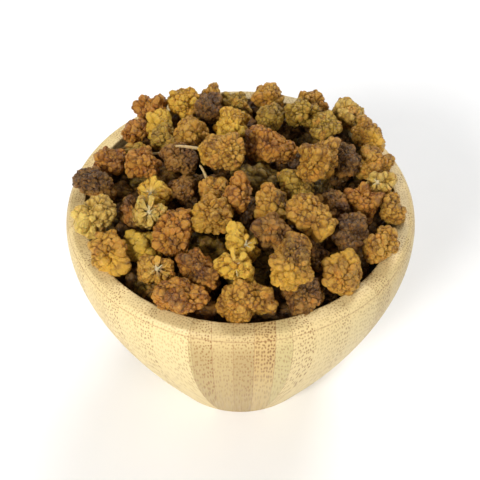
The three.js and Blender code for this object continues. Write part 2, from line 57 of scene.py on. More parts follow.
# Light and floor: place, size in metres, strength, colour
LIGHTS = {
    "key": ((-0.40, -0.56, 0.50), 0.26, 6.1, (1.0, 0.99, 0.98)),
    "fill": ((0.56, -0.50, 0.30), 0.40, 1.7, (1.0, 1.0, 1.0)),
    "back": ((0.30, 0.75, 0.90), 0.70, 10.0, (1.0, 1.0, 1.0)),
}
SKY_COLOUR = (1.0, 1.0, 1.0)
SKY_STRENGTH = 0.22
FLOOR_TONES = [(0.93575, 0.93575, 0.93575), (0.95, 0.95, 0.95)]
FLOOR_HALF = 1.6

# Bowl profile
BOWL_HEIGHT = 89.0
BOWL_RADIUS = 60.0
BULGE_DROP = 10.0
RIM_OUTER = 57.2
RIM_INNER = 52.7
RIM_ROUND = 1.2
FOOT_RADIUS = 33.5
FOOT_ROUND = 2.2
WALL_STRAIGHT = 24.0
FLOOR_THICKNESS = 9.0
FLOOR_RADIUS = 18.0
BELLY_HEIGHT = 49.0
HOLLOW_RADIUS = 38.0

# Bamboo: staves glued from strips, with the fibres leaning in towards the foot
STAVES = 12
STAVE_SIDES = 12
STRIP_WIDTH = 6.2
STRIP_SHIFT = 2.2
STRIPS_A_STAVE = 5.0
FIBRE_SLOPE = 67.0
FIBRE_STRETCH = 40.0
FIBRE_SWAY = (1.2, 0.0, 1.2)
# Pores: from one to the next, then as shares of that their scatter, core, edge and how much dots grow
PORE_PITCH = 0.86
PORE_SCATTER = 0.6
PORE_CORE = 0.14
PORE_EDGE = 0.38
DOT_GROWTH = 0.1
# Heights in metres over which pores, and the strong dots of one strip of the front stave, grow full
PORES_GROW = (0.02, 0.075)
DOTS_GROW = (0.05, 0.08)
DOTTED_STRIP = 1.0
RIM_LINE_DROP = 1.6
RIM_LINE_WIDTH = 0.3
# For each stave from the front round to the right: how pale it is and how much its strips differ
STAVE_TONES = [
    (-0.1, 0.9), (0.7, 0.12), (0.52, 0.3), (0.4, 0.5), (0.7, 0.4), (0.5, 0.6),
    (0.66, 0.4), (0.45, 0.6), (0.6, 0.5), (0.34, 0.4), (0.64, 0.2), (0.78, 0.1),
]
# Bamboo colours, as sRGB, and how the tone turns from strip to strip
BAMBOO_TONES = [(0.2, (176, 150, 98)), (0.5, (204, 181, 126)), (0.85, (232, 213, 160))]
GREEN_TONE = (208, 196, 136)
CUT_TONE = (228, 202, 144)
DOTTED_TONE = (196, 150, 76)
PORE_TONE = (146, 102, 52)
DOT_TONE = (120, 74, 24)
LINE_TONE = (146, 92, 52)
TONE_TURN = 0.618034
GREEN_TURN = 0.79
TURN_START = 20.25

# Skins: their points, and how closely a base form follows its solid
GOLDEN_ANGLE = math.pi * (3 - math.sqrt(5))
FRUIT_POINTS = 6000
HEAP_POINTS = 1700
PETAL_POINTS = 220
REACH_POINTS = 60
STRETCH = 1.35
SAMPLE_DIRECTIONS = 320
SAMPLE_BLUR = 24.0
ENVELOPE_POWER = 6.0
INNER_SHARE = 0.97
STALK_LIMIT = 1.2
BLUNTNESS = 2.35
LEAST = 1e-6

# Drupelets: the least and most area of one, and shares of the distance from one to the next
LOBE_AREAS = (1.6, 2.7)
HEAP_COARSER = 1.25
PACKING = 1.155
LOBE_WIDTH = 0.6
LOBE_RISE = 0.52
LOBE_POWER = 2.3
LOBE_SCATTER = 0.6
SIZE_SCATTER = 0.45
CREASE_FLOOR = 0.4
PUFF = 0.17
DIMPLE_WIDTH = 0.24
# How many drupelets are sunken, dimpled, folded or spotted
SUNKEN_SHARE = 0.12
DIMPLE_SHARE = 0.4
FOLD_SHARE = 0.55
SPOTTED_SHARE = 0.3
# Swollen drupelets: how fast they start, how much they grow and how many make room
RIPE_FADE = 0.3
RIPE_GROWTH = 0.35
RIPE_THINNING = 0.5

# Relief of the skin, and the length of its waves
LOBE_TOP = 0.4
RISE_SCATTER = 0.24
SUNKEN_DEPTH = 0.6
DIMPLE_DEPTH = 0.35
FOLD_DEPTH = 0.14
FOLD_WIDTH = 0.2
FOLD_SHIFT = 0.3
SPOT_RADIUS = 0.28
# Distance from a crease, in millimetres, over which the crease mark fades; the skin paints shade over it
CREASE_WIDTH = 0.66
SNAP_SHARE = 0.55
LOBE_WARP = 0.13
WARP_LENGTH = 2.0
LUMP = 0.75
LUMP_LENGTH = 6.0
MERGED = 0.5
MERGED_LENGTH = 4.0
WRINKLE = 0.16
WRINKLE_LENGTH = 0.9
WRINKLE_ON_TOP = 0.35
WAVES = 9

# Opened lobes, strands and stalks
PETAL_WIDTH = 0.66
PETAL_THICKNESS = 0.62
STRANDS = 3
STRAND_LEAN = 0.55
STRAND_RADIUS = 0.15
STALK_RADIUS = 0.55
KNOB_RADIUS = 0.8
TUBE_SIDES = 8

# Distance that a skin keeps from the ones above it
CONTACT_GAP = 0.12
HEAP_GAP = 0.3

# By the number of the fruit
# Swollen clear lobes: way to the swollen side, and how far along it they start, -1 to 1
RIPE_SIDES = {
    "09": ((0, 0, 1), -1.4), "14": ((0.5, -0.8, 0.2), 0.45), "22": ((0, -1, 0), 0.25),
    "28": ((-1, -0.2, 0), 0.7), "30": ((-0.6, -0.8, 0), 0.35), "34": ((0.3, -0.5, 0.8), -0.1),
    "35": ((0.1, -1, 0), 0.5), "39": ((0.3, -1, 0), 0.6), "41": ((-1, -0.3, 0), 0.6),
    "42": ((-0.5, -0.6, 0.6), 0.6), "46": ((0.6, -0.8, 0), 0.75), "50": ((-0.2, -0.2, 1), 0.3),
    "54": ((0, 0.7, 0.7), 0.5), "57": ((-0.4, -0.9, 0), 0.5),
}
# Opened: way they open, number and length of the lobes spread round it
OPENED = {
    "26": ((-0.3, -0.5, 0.8), 4, 3), "32": ((-0.15, -0.6, 0.75), 12, 5.2),
    "33": ((0.35, -0.5, 0.75), 6, 5), "50": ((0.3, -0.6, 0.7), 5, 4.6),
    "51": ((0.2, -0.6, 0.8), 6, 3.8), "53": ((0, -0.5, 0.85), 7, 4.8),
}
# Dark patches: way to the middle of the patch, and its width as a share of the fruit's
BRUISES = {
    "02": ((0, -0.5, 0.8), 0.9), "15": ((0.4, -0.5, 0.7), 0.8), "20": ((0.8, -0.2, 0.5), 0.6),
    "29": ((-0.2, -0.3, 0.9), 0.9), "39": ((0.6, -0.3, 0.7), 0.3), "42": ((-0.6, 0.4, 0.7), 0.6),
    "45": ((0, -0.5, 0.8), 0.8), "49": ((0.2, 0.3, 0.9), 0.8), "52": ((0, 0.5, 0.8), 0.8),
    "55": ((-0.2, -0.4, 0.8), 0.5), "57": ((0.1, 0.1, 1), 0.45),
}
STALKED = ["05", "16", "28", "40"]

# Heap, as in its solid
CLEARANCE = 0.3
CROWN_HEIGHT = 2.5
CROWN_BACK = 13.0
EDGE_DROP = 6.0
CROWN_POWER = 2.2
CORE_BELOW = 6.0
HEAP_PITCH = 12.5
RING_STEP = 10.0
RING_SCATTER = 0.4
CROWDED = 7.0
WALL_GAP = 1.3
HEAP_LONG = 15.0
HEAP_WIDE = 11.0
HEAP_SINK = 2.0
HEAP_SEED = 2026
HEAP_DRUPELETS = 10
LEAST_TAPER = 0.12
TAPER_SPREAD = 0.16
BEND_SPREAD = 0.12
# Core under the heap's fruits: how far its top lies below the solid's, its lumps and steps
CORE_DROP = 0.6
CORE_LUMP = 0.5
CORE_LUMP_LENGTH = 5.0
CORE_SIDES = 100
CORE_RINGS = 30

# Fruits of the heap given one by one: x, y, heading, rise, tone, and the size where it isn't LOW_SIZE
LOW_SIZE = (13, 10)
LOW_FRUITS = [
    # Along the back wall
    (-3, 46, 10, 1, "brown"), (7, 46, -5, 1, "brown"), (19, 42, -25, 0, "olive"),
    (-29, 37, 40, 0, "russet"), (37, 28, -50, 0, "brown"), (43, 19, -70, 1, "olive"),
    (-43, 19, 60, 1, "brown"),
    # Back half
    (-11, 22, 90, 0, "olive", 14, 10), (-3, 27, 80, 2, "olive"), (7, 3, 0, 3, "olive", 16, 11),
    (-8, 2, 30, 0, "brown"), (34, 10, 50, 3, "brown"),
    # Left
    (-41, 3, 20, 0, "amber", 12, 9), (-35, -15, -50, 1, "brown"), (-31, -24, 30, -1, "olive"),
    (-35, -33, -40, 1, "brown"), (-30, -36, -35, 0, "olive", 14, 10), (-21, -27, 20, 2, "brown"),
    (-23, -36, 20, 3, "amber"),
    # Middle
    (2, -12, 60, 5, "brown"), (3, -20, 100, 1, "olive"), (9, -22, 60, 4, "brown"),
    (-10, -26, 30, 3, "olive", 15, 11), (-1, -31, 90, 7, "olive", 15, 10),
    (8, -31, 10, 4, "olive", 14, 10), (9, -38, 120, 1, "brown"),
    # Right and front
    (38, 1, 60, 0, "brown", 14, 10), (49, 3, 85, 1, "brown"), (28, -5, 20, 0, "brown"),
    (20, -20, 20, 4, "brown"), (40, -24, 60, 2, "amber"), (37, -30, 40, 1, "brown"),
    (27, -34, 60, 4, "brown"), (13, -44, 10, 0, "brown", 14, 10),
]
# Painted shade: the heap's fruits, which lie under the top ones, take every fruit colour at this share
HEAP_PAINTED_SHADE = 0.5
RING_TONES = ["brown", "olive", "brown", "russet", "brown", "amber"]

# Tones, as sRGB: creases (painted shade, also the colour of the dark spots), shaded skin, skin, lit skin,
# swollen lobes
TONES = {
    "amber": ((80, 42, 6), (134, 82, 16), (178, 124, 34), (204, 156, 64), (228, 178, 62)),
    "golden": ((96, 52, 6), (154, 98, 16), (198, 144, 34), (222, 178, 66), (238, 194, 74)),
    "russet": ((66, 28, 6), (124, 68, 14), (166, 102, 28), (196, 140, 54), (216, 146, 44)),
    "brown": ((40, 18, 6), (92, 54, 18), (132, 88, 32), (164, 120, 54), (196, 138, 48)),
    "olive": ((64, 42, 6), (120, 88, 20), (162, 124, 36), (192, 156, 62), (216, 176, 60)),
    "straw": ((104, 68, 14), (160, 120, 40), (196, 156, 64), (220, 184, 96), (236, 204, 100)),
}
WARM = (200, 124, 34)
PALE = (226, 206, 158)
BRUISE = (62, 44, 32)
# Painted shade: near-black tones of the core under the heap, which shows only in the gaps between the
# fruits
CORE_SHADE_TONES = [(4, 3, 2), (14, 9, 6)]
# The dull brown bloom on old fruit, and how much each tone has
BLOOM = (92, 58, 36)
BLOOM_SHARE = {"amber": 0.4, "golden": 0.2, "russet": 0.55, "brown": 0.7, "olive": 0.4, "straw": 0.25}
# Patches on the skin: how many to a metre
BLOOM_SCALE = 140
BLOTCH_SCALE = 260
FINE_SCALE = 900
GRAIN_SCALE = 1100
FLECK_SCALE = 1300
# Noise lies round one half: where in it each kind of patch starts and is full
WARM_BAND = (0.53, 0.7)
BLOOM_BAND = (0.52, 0.66)
BRUISE_BAND = (0.35, 0.6)
BLOTCH_BAND = (0.35, 0.65)
FLECK_BAND = (0.62, 0.72)
# How light the skin is before its patches
LEVEL_START = -0.84


def linear(colour):
    """An sRGB colour of 0 to 255 as a linear one."""
    parts = [part / 255 for part in colour]
    return tuple(p / 12.92 if p <= 0.04045 else ((p + 0.055) / 1.055) ** 2.4 for p in parts)


# Seeded draws, the same ones that lay out the heap's solids
def seeded_draws(seed):
    mask = 0xFFFFFFFF
    state = seed

    def draw():
        nonlocal state
        state = (state + 0x6D2B79F5) & mask
        mixed = ((state ^ (state >> 15)) * (state | 1)) & mask
        mixed ^= (mixed + (((mixed ^ (mixed >> 7)) * (mixed | 61)) & mask)) & mask
        return ((mixed ^ (mixed >> 14)) & mask) / 4294967296

    return draw


# Meshes
def length(rows):
    """How long a vector is, or each row of many."""
    return np.linalg.norm(rows, axis=-1)


def unit(rows):
    """A vector, or each row of many, at a length of one."""
    return rows / length(rows)[..., None]


def roll(angle):
    """Turn about the X axis."""
    cos, sin = math.cos(angle), math.sin(angle)
    return np.array([[1, 0, 0], [0, cos, -sin], [0, sin, cos]])


def fans(faces):
    """Each face as triangles."""
    return np.array([(face[0], face[k], face[k + 1]) for face in faces for k in range(1, len(face) - 1)])


def ring_faces(rings, sides):
    """Faces of a closed body made of rings, whose two end corners come after them."""
    faces = []
    for row in range(rings - 1):
        for side in range(sides):
            after = (side + 1) % sides
            here, there = row * sides, (row + 1) * sides
            faces.append((here + side, here + after, there + after, there + side))
    first, last = rings * sides, (rings - 1) * sides
    for side in range(sides):
        after = (side + 1) % sides
        faces += [(after, side, first), (last + side, last + after, first + 1)]
    return faces


def face_normals(corners, triangles):
    """The way each triangle faces, twice as long as its area."""
    a, b, c = (corners[triangles[:, k]] for k in range(3))
    return np.cross(b - a, c - a)


def add_to_scene(name, data):
    item = bpy.data.objects.new(name, data)
    bpy.context.scene.collection.objects.link(item)
    return item


def make_piece(name, material, corners, faces, marks=None):
    """A mesh object from millimetre corners, with their marks as number attributes."""
    mesh = bpy.data.meshes.new(name)
    mesh.from_pydata((np.asarray(corners) * MM).tolist(), [], [list(face) for face in faces])
    for label, values in (marks or {}).items():
        layer = mesh.attributes.new(label, "FLOAT", "POINT")
        layer.data.foreach_set("value", np.asarray(values, np.float32))
    mesh.polygons.foreach_set("use_smooth", [True] * len(mesh.polygons))
    mesh.materials.append(material)
    mesh.update()
    return add_to_scene(name, mesh)


def even_directions(count):
    """Directions spread evenly over a ball, wound round the X axis."""
    step = np.arange(count) + 0.5
    along = 1 - 2 * step / count
    ring = np.sqrt(1 - along**2)
    angle = step * GOLDEN_ANGLE
    return np.stack([along, ring * np.cos(angle), ring * np.sin(angle)], 1)


def stretched(directions):
    """Directions crowded so that they meet a long body evenly."""
    return unit(directions * np.array([STRETCH, 1, 1]))


def round_skin(count):
    """Even directions and the triangles between them."""
    directions = even_directions(count)
    work = bmesh.new()
    for direction in directions:
        work.verts.new(direction)
    bmesh.ops.convex_hull(work, input=work.verts)
    work.verts.index_update()
    bmesh.ops.triangulate(work, faces=work.faces)
    triangles = np.array([[v.index for v in face.verts] for face in work.faces])
    work.free()
    facing = face_normals(directions, triangles)
    inward = np.einsum("ij,ij->i", facing, directions[triangles].sum(1)) < 0
    triangles[inward] = triangles[inward][:, ::-1]
    return stretched(directions), triangles


def corner_normals(corners, triangles):
    normals = np.zeros_like(corners)
    for k in range(3):
        np.add.at(normals, triangles[:, k], face_normals(corners, triangles))
    return unit(normals)


# One fruit: drupelets swell out of a base form, with creases between them
def lobe_centres(base, draws, count):
    """Middles of the drupelets, spread over the base form a little unevenly."""
    directions = even_directions(count)
    directions = stretched(directions @ roll(draws.uniform(0, 2 * math.pi)).T)
    directions += draws.normal(0, LOBE_SCATTER / math.sqrt(count), directions.shape)
    return base(unit(directions))


def lobe_fields(points, lobes):
    """The highest drupelet at each point, its height, and the way and distance to the nearest crease."""
    offset = points[:, None, :] - lobes["centre"][None]
    distance = length(offset)
    share = distance / lobes["width"]
    height = lobes["lift"] + lobes["rise"] * (1 - share**LOBE_POWER)
    order = np.argpartition(-height, 1, axis=1)[:, :2]
    rows = np.arange(len(points))
    swap = height[rows, order[:, 0]] < height[rows, order[:, 1]]
    order[swap] = order[swap][:, ::-1]
    first, second = order[:, 0], order[:, 1]
    slopes = []
    for which in (first, second):
        reach = distance[rows, which]
        steep = -lobes["rise"][which] * LOBE_POWER * share[rows, which] ** (LOBE_POWER - 1)
        steep /= lobes["width"][which]
        slopes.append(offset[rows, which] * (steep / np.maximum(reach, LEAST))[:, None])
    fall = slopes[0] - slopes[1]
    gap = height[rows, first] - height[rows, second]
    return {
        "count": len(lobes["centre"]),
        "height": height[rows, first],
        "first": first,
        "gap": gap,
        "fall": fall,
        "away": offset[rows, first],
        "reach": distance[rows, first],
        "to_crease": gap / np.maximum(length(fall), LEAST),
    }


def wrinkles(points, draws, wavelength):
    """A smooth random swell made of crossing waves."""
    total = np.zeros(len(points))
    for _ in range(WAVES):
        heading = draws.normal(size=3)
        heading *= 2 * math.pi / (wavelength * draws.uniform(0.7, 1.5) * np.linalg.norm(heading))
        total += np.sin(points @ heading + draws.uniform(0, 2 * math.pi))
    return total / math.sqrt(WAVES / 2)


def crumple(points, draws, wavelength):
    """A random swell each of the three ways."""
    return np.stack([wrinkles(points, draws, wavelength) for _ in range(3)], 1)


def drupelets(base, area, coarser, glow, draws):
    """The drupelets of a fruit, and the distance from one to the next."""
    count = int(area / (coarser * draws.uniform(*LOBE_AREAS)))
    spacing = math.sqrt(PACKING * area / count)
    size = 1 + SIZE_SCATTER * draws.uniform(-1, 1, count)
    centres = lobe_centres(base, draws, count)
    swollen = np.zeros(count) if glow is None else glow(centres)
    kept = draws.uniform(size=count) > RIPE_THINNING * swollen
    centres, swollen = centres[kept], swollen[kept]
    size = size[kept] * (1 + RIPE_GROWTH * swollen)
    lift = RISE_SCATTER * draws.normal(size=len(centres))
    lift -= SUNKEN_DEPTH * (draws.uniform(size=len(centres)) < SUNKEN_SHARE)
    lobes = {
        "centre": centres,
        "width": LOBE_WIDTH * spacing * size,
        "rise": LOBE_RISE * spacing * size,
        "lift": lift + RIPE_GROWTH * swollen,
        "swollen": swollen,
    }
    return lobes, spacing


def snapped(points, warp, lobes, edge):
    """Points with the ones beside a crease moved onto it, and the drupelets at each."""
    found = lobe_fields(points + warp, lobes)
    near = found["to_crease"] < SNAP_SHARE * edge
    fall = found["fall"]
    move = fall * (found["gap"] / np.maximum((fall**2).sum(1), LEAST))[:, None]
    points = points - np.where(near[:, None], move, 0)
    found = lobe_fields(points + warp, lobes)
    found["to_crease"] = np.where(near, 0, found["to_crease"])
    return points, found


def relief(points, found, share, spacing, merged, draws):
    """Height of the skin over the base form: drupelets, lumps, dimples, folds and wrinkles."""
    first, count = found["first"], found["count"]
    height = np.maximum(found["height"], -CREASE_FLOOR * spacing) - LOBE_RISE * spacing
    height = LOBE_TOP + height + merged * (np.median(height) - height)
    height += LUMP * wrinkles(points, draws, LUMP_LENGTH)
    dimpled = draws.uniform(size=count) < DIMPLE_SHARE
    dimple = np.exp(-((found["reach"] / (DIMPLE_WIDTH * spacing)) ** 2)) * dimpled[first]
    height -= DIMPLE_DEPTH * dimple
    folds = unit(draws.normal(size=(count, 3)))
    across = np.einsum("ij,ij->i", found["away"], folds[first])
    across -= draws.uniform(-FOLD_SHIFT, FOLD_SHIFT, count)[first]
    folded = (draws.uniform(size=count) < FOLD_SHARE)[first]
    height -= FOLD_DEPTH * np.exp(-((across / FOLD_WIDTH) ** 2)) * folded * (1 - share**3)
    rough = WRINKLE_ON_TOP + (1 - WRINKLE_ON_TOP) * share
    return height + WRINKLE * wrinkles(points, draws, WRINKLE_LENGTH) * rough


def fruit_surface(base, skin, draws, coarser=1.0, glow=None):
    """Corners, triangles and marks of one fruit in its own frame."""
    directions, triangles = skin
    points = base(directions)
    area = length(face_normals(points, triangles)).sum() / 2
    lobes, spacing = drupelets(base, area, coarser, glow, draws)
    edge = math.sqrt(4 * area / len(triangles) / math.sqrt(3))
    points, found = snapped(points, LOBE_WARP * crumple(points, draws, WARP_LENGTH), lobes, edge)
    normals = corner_normals(points, triangles)
    first, count = found["first"], found["count"]
    share = found["reach"] / np.maximum(found["reach"] + found["to_crease"], LEAST)
    merged = MERGED * np.clip(0.5 * wrinkles(points, draws, MERGED_LENGTH), 0, 1)
    height = relief(points, found, share, spacing, merged, draws)
    away = found["away"] - normals * np.einsum("ij,ij->i", found["away"], normals)[:, None]
    away /= np.maximum(length(away), LEAST)[:, None]
    corners = points + normals * height[:, None]
    corners += away * (PUFF * spacing * share * np.sin(math.pi * np.clip(share, 0, 1)))[:, None]
    spotted = draws.uniform(size=count) < SPOTTED_SHARE
    marks = {
        # Crease mark: 0 on a crease, where the skin paints shade, rising to 1 away from it
        "crease": np.clip(found["to_crease"] / CREASE_WIDTH + merged, 0, 1),
        "lobe": draws.uniform(size=count)[first],
        "glow": lobes["swollen"][first],
        "spot": np.exp(-((found["reach"] / SPOT_RADIUS) ** 4)) * spotted[first],
        "pale": 0.0,
        "fruit": draws.uniform(),
    }
    return corners, triangles, marks


def ripe_side(base, heading, start):
    """How swollen a drupelet is, from where it lies along heading in the fruit's frame."""
    heading = unit(heading)

    def glow(centres):
        reach = (base(even_directions(REACH_POINTS)) @ heading).max()
        return np.clip((centres @ heading / reach - start) / RIPE_FADE, 0, 1)

    return glow


def bruise(corners, way, width):
    """How dark each corner is, from how near it lies to the middle of a dark patch."""
    toward = unit(corners) @ unit(way)
    return np.clip((toward - 1 + width) / (0.6 * width), 0, 1)


def petal(root, ahead, up, long, skin, draws):
    """A long lobe that leans out from root."""
    directions, triangles = skin
    along = (directions[:, 0] + 1) / 2
    swell = PETAL_WIDTH * (0.3 + 0.7 * along) * draws.uniform(1.8, 2.6)
    side = np.cross(up, ahead)
    hollow = 0.35 * np.exp(-((directions[:, 1] / 0.4) ** 2)) * (directions[:, 2] > 0)
    droop = draws.uniform(-0.3, 0.0) * long * along**2
    lift = PETAL_THICKNESS * swell * (directions[:, 2] - hollow) + droop
    corners = root + np.outer(long * along, ahead) + np.outer(swell * directions[:, 1], side)
    corners += np.outer(lift, up)
    corners += 0.12 * crumple(corners, draws, 1.6)
    marks = {
        # Painted shade: the crease mark falls towards each petal's edges and root, where the skin paints
        # shade
        "crease": np.clip(2.4 * (1 - np.abs(directions[:, 1])) * (along + 0.1), 0, 1),
        "lobe": draws.uniform(),
        "glow": 0.2 + 0.6 * draws.uniform(),
        "spot": 0.0,
        "pale": 0.7 * np.clip(0.4 - along, 0, 1) / 0.4,
        "fruit": draws.uniform(),
    }
    return corners, triangles, marks


def tube(path, radius, pale):
    """A thin stalk or strand along path, narrower at its end."""
    path = np.array(bezier(path, 10))
    ahead = unit(np.gradient(path, axis=0))
    side = unit(np.cross(ahead, (0.31, 0.5, 0.81)))
    up = np.cross(ahead, side)
    angles = np.arange(TUBE_SIDES) / TUBE_SIDES * 2 * math.pi
    rings = []
    for index, middle in enumerate(path):
        girth = radius * (1 - 0.4 * index / len(path))
        ring = np.outer(np.cos(angles), side[index]) + np.outer(np.sin(angles), up[index])
        rings.append(middle + girth * ring)
    corners = np.concatenate(rings + [path[:1], path[-1:]])
    marks = {"crease": 1.0, "lobe": 0.8, "glow": 0.0, "spot": 0.0, "pale": pale, "fruit": 0.5}
    return corners, fans(ring_faces(len(path), TUBE_SIDES)), marks


def opened_lobes(base, axes, way, count, long, draws):
    """Long lobes spread round the place where a fruit has opened, with pale strands in the middle."""
    up = axes @ unit(way)
    root = base(up[None])[0]
    side = unit(np.cross(up, (1.0, 0.0, 0.0)))
    other = np.cross(up, side)
    skin = round_skin(PETAL_POINTS)
    parts = []
    for step in range(count):
        angle = (step + 0.5 * draws.uniform()) / count * 2 * math.pi
        ahead = math.cos(angle) * side + math.sin(angle) * other
        reach = long * draws.uniform(0.6, 1.1)
        parts.append(petal(root + 0.4 * ahead, ahead, up, reach, skin, draws))
    parts.append(tube([root - 0.6 * up, root + 0.3 * up, root + 0.9 * up], KNOB_RADIUS, 1.0))
    for _ in range(STRANDS):
        lean = draws.normal(0, STRAND_LEAN, 3)
        tip = root + (up + lean) * long * 0.5
        bent = root + (up + lean * draws.uniform(-0.4, 1.6)) * long * 0.3
        parts.append(tube([root, bent, tip], STRAND_RADIUS * draws.uniform(0.8, 1.6), 1.0))
    return parts


def stalk_part(name, centre, axes):
    """The stalk that is left on a fruit, along the one of its solid."""
    corners = np.array([v.co[:] for v in frame["nodes"][name].data.vertices]) / MM
    order = np.argsort(-length(corners - centre))
    tip, neck = corners[order[:4]].mean(0), corners[order[4:8]].mean(0)
    root = centre + 0.5 * (neck - centre)
    path = [(point - centre) @ axes.T for point in (root, neck, tip)]
    return tube(path, STALK_RADIUS, 0.6)


def spindle_base(long, wide, taper, bend):
    """Base form of a fruit of the heap, a blunt bent spindle along X."""

    def base(directions):
        ring = np.hypot(directions[:, 1], directions[:, 2])
        along = np.abs(directions[:, 0])
        scale = (along**BLUNTNESS + ring**BLUNTNESS) ** (-1 / BLUNTNESS)
        place = directions * scale[:, None]
        width = wide / 2 * (1 - taper * place[:, 0])
        sag = bend * (place[:, 0] ** 2 - 0.4)
        return np.stack([place[:, 0] * long / 2, place[:, 1] * width + sag, place[:, 2] * width], 1)

    return base


# A fruit's base form read from its solid
def node_form(name):
    """Middle and main axes of a solid, its surface as a tree, and its triangles' middles and areas."""
    mesh = frame["nodes"][name].data
    corners = np.array([v.co[:] for v in mesh.vertices]) / MM
    triangles = fans([tuple(face.vertices) for face in mesh.polygons])
    area = length(face_normals(corners, triangles)) / 2
    middles = corners[triangles].mean(1)
    centre = (middles * area[:, None]).sum(0) / area.sum()
    spread = (middles - centre) * np.sqrt(area)[:, None]
    _, axes = np.linalg.eigh(spread.T @ spread)
    axes = axes.T[::-1].copy()
    axes[2] = np.cross(axes[0], axes[1])
    tree = BVHTree.FromPolygons([tuple(p) for p in corners], [tuple(t) for t in triangles.tolist()])
    return centre, axes, tree, middles, area


def solid_base(centre, axes, tree, middles, area):
    """Base form that follows a solid, smoothed, in the fruit's own frame."""
    samples = stretched(even_directions(SAMPLE_DIRECTIONS))
    reach = np.zeros(len(samples))
    for index, sample in enumerate(samples):
        hit = tree.ray_cast(Vector(centre), Vector(sample @ axes))
        reach[index] = hit[3]
    local = (middles - centre) @ axes.T
    order = np.argsort(np.abs(local[:, 0]))
    inner = np.cumsum(area[order]) < INNER_SHARE * area.sum()
    half = np.abs(local[order][inner]).max(0)
    reach = np.minimum(reach, STALK_LIMIT / np.sqrt(((samples / half) ** 2).sum(1)))

    def base(directions):
        weight = np.exp(SAMPLE_BLUR * (directions @ samples.T - 1))
        mean = (weight @ reach**ENVELOPE_POWER) / weight.sum(1)
        return directions * (mean ** (1 / ENVELOPE_POWER))[:, None]

    return base


# Heap
def crown(x, y):
    """Height of the heap at a place."""
    share = min(math.hypot(x, y - CROWN_BACK) / RIM_INNER, 1)
    return BOWL_HEIGHT + CROWN_HEIGHT - (CROWN_HEIGHT + EDGE_DROP) * share**CROWN_POWER


def heap_places(draw):
    """Places of the heap's fruits: the listed ones, then rings of others where there is room."""
    places = []
    for x, y, turn, rise, tone, *size in LOW_FRUITS:
        places.append((x, y, turn, *(size or LOW_SIZE), rise, tone))
    outermost = RIM_INNER - WALL_GAP - HEAP_WIDE / 2
    radius = outermost
    while radius > HEAP_WIDE / 4:
        count = math.floor(2 * math.pi * radius / HEAP_PITCH)
        for step in range(count):
            angle = (step + RING_SCATTER * draw()) / count * 360
            x = radius * math.cos(math.radians(angle))
            y = radius * math.sin(math.radians(angle))
            turn = angle + 90 if radius == outermost else draw() * 360
            nearest = min(math.hypot(other[0] - x, other[1] - y) for other in places)
            if nearest > CROWDED:
                tone = RING_TONES[len(places) % len(RING_TONES)]
                places.append((x, y, turn, HEAP_LONG, HEAP_WIDE, 0, tone))
        radius -= RING_STEP
    return places


def heap_poses():
    """Base form and pose of each fruit of the heap, by the same draws as its solid."""
    draw = seeded_draws(HEAP_SEED)
    made = []
    for x, y, turn, long, wide, rise, tone in heap_places(draw):
        for _ in range(1 + HEAP_DRUPELETS):
            draw()
        taper = LEAST_TAPER + TAPER_SPREAD * draw()
        bend = (draw() - 0.5) * BEND_SPREAD * long
        for _ in range(HEAP_DRUPELETS):
            draw()
        rolled = roll(math.radians(draw() * 360))
        cos, sin = math.cos(math.radians(turn)), math.sin(math.radians(turn))
        turned = np.array([[cos, -sin, 0], [sin, cos, 0], [0, 0, 1]]) @ rolled
        place = np.array([x, y, crown(x, y) - HEAP_SINK + rise])
        made.append((spindle_base(long, wide, taper, bend), turned, place, tone))
    return made


def move_inside(corners):
    """Moves a fruit of the heap in from the bowl's wall."""
    reach = np.hypot(corners[:, 0], corners[:, 1])
    furthest = reach.argmax()
    excess = max(0, reach[furthest] - (RIM_INNER - WALL_GAP))
    corners[:, :2] -= corners[furthest, :2] / reach[furthest] * excess


def gathered(parts):
    """Many surfaces as one, with each mark spread over the corners of its part."""
    corners, triangles, marks, start = [], [], {}, 0
    for part_corners, part_triangles, part_marks in parts:
        corners.append(part_corners)
        triangles.append(part_triangles + start)
        start += len(part_corners)
        for label, values in part_marks.items():
            marks.setdefault(label, []).append(values * np.ones(len(part_corners)))
    joined = {label: np.concatenate(values) for label, values in marks.items()}
    return np.concatenate(corners), np.concatenate(triangles), joined


# Neighbours
def keep_clear(corners, skins):
    """Moves the corners that lie inside another fruit out onto its skin, away from its middle."""
    for centre, furthest, tree in skins:
        offset = corners - centre
        distance = length(offset)
        start = furthest + 1
        for index in np.nonzero(distance < furthest + CONTACT_GAP)[0]:
            ahead = offset[index] / distance[index]
            hit = tree.ray_cast(Vector(centre + ahead * start), Vector(-ahead), start)
            skin = start - (hit[3] or start) + CONTACT_GAP
            if distance[index] < skin:
                corners[index] = centre + ahead * skin


def draw_back(corners, middle, skins):
    """Draws the corners of a fruit back towards its middle, to where they first meet another fruit."""
    for centre, furthest, tree in skins:
        near = length(corners - centre) < furthest + HEAP_GAP
        for index in np.nonzero(near)[0]:
            offset = corners[index] - middle
            reach = length(offset)
            hit = tree.ray_cast(Vector(middle), Vector(offset), reach + HEAP_GAP)
            if hit[0] is not None:
                corners[index] = middle + offset * max(hit[3] - HEAP_GAP, 0) / reach


def keep_off_bowl(corners):
    """Moves the corners that lie in the bowl's wall inward, or up onto the rim where that is nearer."""
    wall = np.array(inner_wall())[::-1]
    reach = np.hypot(corners[:, 0], corners[:, 1])
    limit = np.interp(corners[:, 2], wall[:, 1], wall[:, 0]) - CONTACT_GAP
    below = BOWL_HEIGHT + CONTACT_GAP - corners[:, 2]
    inside = (reach > limit) & (below > 0) & (reach < BOWL_RADIUS)
    upward = inside & (below < reach - limit)
    corners[upward, 2] += below[upward]
    inward = inside & ~upward
    corners[inward, :2] *= (limit[inward] / reach[inward])[:, None]


# Bowl
def bezier(points, steps):
    """Points along the curve that the given points pull."""
    t = np.linspace(0, 1, steps + 1)[:, None]
    points = [np.array(point, float) for point in points]
    while len(points) > 1:
        points = [one * (1 - t) + two * t for one, two in zip(points, points[1:])]
    return [tuple(point) for point in points[0]]


